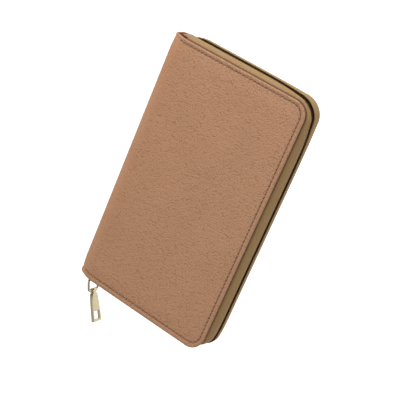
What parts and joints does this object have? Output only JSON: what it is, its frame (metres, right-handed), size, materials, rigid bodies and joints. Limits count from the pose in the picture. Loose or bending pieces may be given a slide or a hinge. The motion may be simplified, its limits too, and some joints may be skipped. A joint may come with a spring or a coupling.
{
  "type": "zip around wallet",
  "caption": "Long leather wallet that opens like a book, closed on three edges by a coil zip with a hanging metal pull; card, bill and coin pockets inside.",
  "frame": {"origin": "centre of the back cover's outer face, between spine and fore-edge and between top and bottom edges", "axes": "+X from the spine to the fore-edge, +Y towards the top edge, +Z through the thickness to the front cover"},
  "size_m": [0.1189, 0.2345, 0.025],
  "materials": {
    "leather_tan": "pebbled grain, satin",
    "lining_brown": "woven, matt",
    "zip_tape_gold": "herringbone weave, slight sheen",
    "zip_coil_brown": "nylon coil",
    "pale_gold_metal": "polished pale gold plating",
    "thread_brown": "twisted thread",
    "board": "plain stiffener"
  },
  "bodies": {
    "back_cover": {"back_leather": "leather_tan", "back_board": "board", "back_lining": "lining_brown", "back_stitching": "thread_brown", "back_zip_tape": "zip_tape_gold", "back_zip_coil": "zip_coil_brown", "back_zip_stops": "pale_gold_metal", "back_card_slot_1": "leather_tan", "back_card_slot_2": "leather_tan", "back_card_slot_3": "leather_tan", "back_card_slot_4": "leather_tan", "coin_pocket_panel": "lining_brown", "coin_pocket_border": "lining_brown", "coin_zip_tape": "zip_tape_gold", "coin_zip_coil": "zip_coil_brown"},
    "spine": {"spine_leather": "leather_tan", "spine_lining": "lining_brown", "zip_end_tab_top": "leather_tan", "zip_end_tab_bottom": "leather_tan"},
    "front_cover": {"front_leather": "leather_tan", "front_board": "board", "front_lining": "lining_brown", "front_stitching": "thread_brown", "front_zip_tape": "zip_tape_gold", "front_zip_coil": "zip_coil_brown", "front_zip_stops": "pale_gold_metal", "front_card_slot_1": "leather_tan", "front_card_slot_2": "leather_tan", "front_card_slot_3": "leather_tan", "front_card_slot_4": "leather_tan", "front_card_slot_5": "leather_tan", "bill_pocket_leaf": "lining_brown"},
    "zip_slider": {"zip_slider": "pale_gold_metal"},
    "pull_ring": {"pull_ring": "pale_gold_metal"},
    "pull_tab": {"pull_tab": "pale_gold_metal"},
    "coin_slider": {"coin_zip_slider": "pale_gold_metal"},
    "coin_pull": {"coin_zip_pull": "pale_gold_metal"}
  },
  "joints": [
    {"name": "spine_fold", "type": "hinge", "parent": "back_cover", "child": "spine", "pos_m": [-0.059, 0, 0.0065], "axis": [0, -1, 0], "range_deg": [0, 90]},
    {"name": "front_fold", "type": "hinge", "parent": "spine", "child": "front_cover", "pos_m": [-0.059, 0, 0.0185], "axis": [0, -1, 0], "range_deg": [0, 90]},
    {"name": "zip_travel", "type": "slide", "parent": "back_cover", "child": "zip_slider", "axis": [1, 0, 0], "range_m": [0, 0.088]},
    {"name": "ring_swing", "type": "hinge", "parent": "zip_slider", "child": "pull_ring", "pos_m": [-0.049, -0.1037, 0.0125], "axis": [0, 0, 1], "range_deg": [-90, 43]},
    {"name": "tab_swing", "type": "hinge", "parent": "pull_ring", "child": "pull_tab", "pos_m": [-0.04533, -0.11214, 0.0125], "axis": [0, 0, 1], "range_deg": [-27, 11]},
    {"name": "coin_zip_travel", "type": "slide", "parent": "back_cover", "child": "coin_slider", "axis": [0, 1, 0], "range_m": [0, 0.148]},
    {"name": "coin_pull_flip", "type": "hinge", "parent": "coin_slider", "child": "coin_pull", "pos_m": [0.036, -0.074, 0.0072], "axis": [1, 0, 0], "range_deg": [0, 150]}
  ],
  "couplings": [
    {"joint": "front_fold", "follows": "spine_fold", "ratio": 1}
  ]
}
